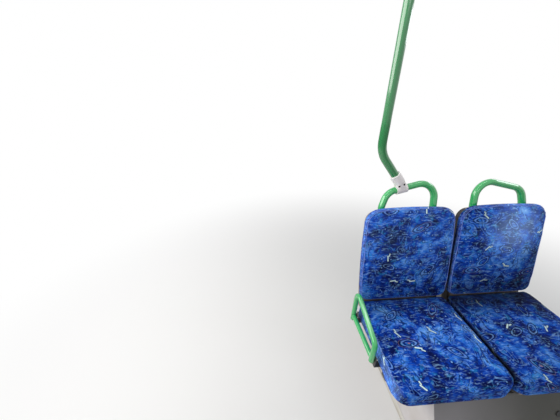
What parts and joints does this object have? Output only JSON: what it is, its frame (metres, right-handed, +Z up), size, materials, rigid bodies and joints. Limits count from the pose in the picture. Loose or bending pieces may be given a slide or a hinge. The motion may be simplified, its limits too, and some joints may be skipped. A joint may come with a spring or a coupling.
{
  "type": "twin bus passenger seat",
  "caption": "Twin city bus seat on a box plinth, with blue patterned pads, green grab handles, an aisle-side grab loop and a stanchion up to the ceiling rail.",
  "frame": {"origin": "on the floor, at the middle of the plinth's four floor bolts", "axes": "+Z up, the seats face -Y, the aisle is at -X and the window wall at +X"},
  "size_m": [0.9331, 0.72, 1.9135],
  "materials": {
    "fabric_blue": "patterned velour, short pile",
    "shell_grey": "fine grained moulding",
    "handle_green": "smooth gloss powder coat",
    "pole_green": "smooth gloss powder coat",
    "clamp_white": "satin powder coat on a casting",
    "plinth_light": "satin paint",
    "plinth_dark": "satin paint",
    "trim_white": "white coated strip",
    "frame_grey": "dark grey paint"
  },
  "bodies": {
    "root": {"plinth_front": "plinth_dark", "plinth_rear": "plinth_dark", "plinth_side_aisle": "plinth_light", "plinth_side_wall": "plinth_light", "plinth_deck": "plinth_dark", "plinth_base_trim": "trim_white", "rail_front": "frame_grey", "rail_rear": "frame_grey", "rail_front_feet": "frame_grey", "rail_rear_feet": "frame_grey", "loop": "handle_green", "loop_bar": "handle_green", "loop_brackets": "frame_grey", "pole": "pole_green", "pole_clamp_front": "clamp_white", "pole_clamp_rear": "clamp_white", "ceiling_clamp_aisle": "clamp_white", "ceiling_clamp_wall": "clamp_white", "seat_pan_aisle": "shell_grey", "seat_pad_aisle": "fabric_blue", "back_shell_aisle": "shell_grey", "back_pad_aisle": "fabric_blue", "handle_aisle": "handle_green", "handle_sockets_aisle": "frame_grey", "seat_pan_window": "shell_grey", "seat_pad_window": "fabric_blue", "back_shell_window": "shell_grey", "back_pad_window": "fabric_blue", "handle_window": "handle_green", "handle_sockets_window": "frame_grey"}
  },
  "joints": []
}
